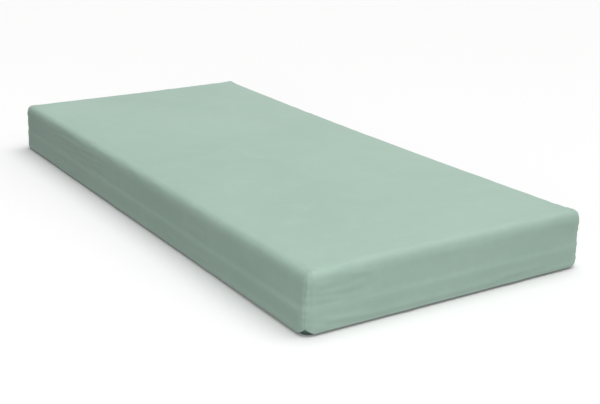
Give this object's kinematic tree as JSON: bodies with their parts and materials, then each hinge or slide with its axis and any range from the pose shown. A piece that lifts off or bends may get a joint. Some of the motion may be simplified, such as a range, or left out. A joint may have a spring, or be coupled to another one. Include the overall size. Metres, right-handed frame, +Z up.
{
  "type": "pressure relief mattress",
  "caption": "Foam pressure relief mattress for a hospital bed, with a zip-off coated cover and its hanging flap, a dark base cover and a layered foam core.",
  "frame": {"origin": "centre of the flat underside, on the surface it rests on", "axes": "+X across the bed, towards the side with the end of the zip; +Y along the bed, towards the head; +Z up"},
  "size_m": [0.88, 1.98, 0.164],
  "materials": {
    "cover_fabric": "matt polyurethane-coated stretch knit, sage green",
    "base_fabric": "dark coated woven nylon",
    "fire_barrier": "undyed knitted glass-core fabric",
    "zip_tape": "woven polyester tape",
    "zip_coil": "moulded nylon coil",
    "zip_metal": "nickel-plated die casting",
    "label_cloth": "blank white satin tape",
    "base_foam": "firm open-cell foam, blue-grey",
    "bolster_foam": "firm open-cell foam, light grey",
    "visco_foam": "viscoelastic foam, pale yellow",
    "heel_foam": "soft open-cell foam, pink",
    "thigh_foam": "high-resilience foam, light blue",
    "torso_foam": "high-resilience foam, light green",
    "head_foam": "high-resilience foam, light blue"
  },
  "bodies": {
    "base": {"base_cover": "base_fabric", "base_foam_slab": "base_foam", "side_bolster_left": "bolster_foam", "side_bolster_right": "bolster_foam", "heel_insert": "heel_foam", "thigh_insert": "thigh_foam", "torso_insert": "torso_foam", "head_insert": "head_foam", "visco_top_layer": "visco_foam", "zip_lower_tape": "zip_tape", "zip_lower_coil": "zip_coil", "zip_retainer_box": "zip_metal"},
    "cover": {"top_cover": "cover_fabric", "fire_barrier_liner": "fire_barrier", "zip_upper_tape": "zip_tape", "zip_upper_coil": "zip_coil", "zip_insertion_pin": "zip_metal", "care_label": "label_cloth"},
    "right_flap": {"flap_right": "cover_fabric"},
    "head_flap": {"flap_head": "cover_fabric"},
    "left_flap": {"flap_left": "cover_fabric"},
    "foot_flap": {"flap_foot": "cover_fabric"},
    "slider": {"zip_slider": "zip_metal"},
    "pull": {"zip_pull": "zip_metal"}
  },
  "joints": [
    {"name": "cover_lift", "type": "slide", "parent": "base", "child": "cover", "axis": [0, 0, 1], "range_m": [0, 0.25]},
    {"name": "right_flap_lift", "type": "hinge", "parent": "cover", "child": "right_flap", "pos_m": [0.44, 0, 0.06], "axis": [0, -1, 0], "range_deg": [0, 150]},
    {"name": "head_flap_lift", "type": "hinge", "parent": "cover", "child": "head_flap", "pos_m": [0, 0.99, 0.06], "axis": [1, 0, 0], "range_deg": [0, 150]},
    {"name": "left_flap_lift", "type": "hinge", "parent": "cover", "child": "left_flap", "pos_m": [-0.44, 0, 0.06], "axis": [0, 1, 0], "range_deg": [0, 150]},
    {"name": "foot_flap_lift", "type": "hinge", "parent": "cover", "child": "foot_flap", "pos_m": [0, -0.99, 0.06], "axis": [-1, 0, 0], "range_deg": [0, 150]},
    {"name": "zip_run", "type": "slide", "parent": "base", "child": "slider", "axis": [0, -1, 0], "range_m": [0, 1.8]},
    {"name": "pull_swing", "type": "hinge", "parent": "slider", "child": "pull", "pos_m": [0.4365, 0.9, 0.035], "axis": [1, 0, 0], "range_deg": [-70, 70]}
  ]
}
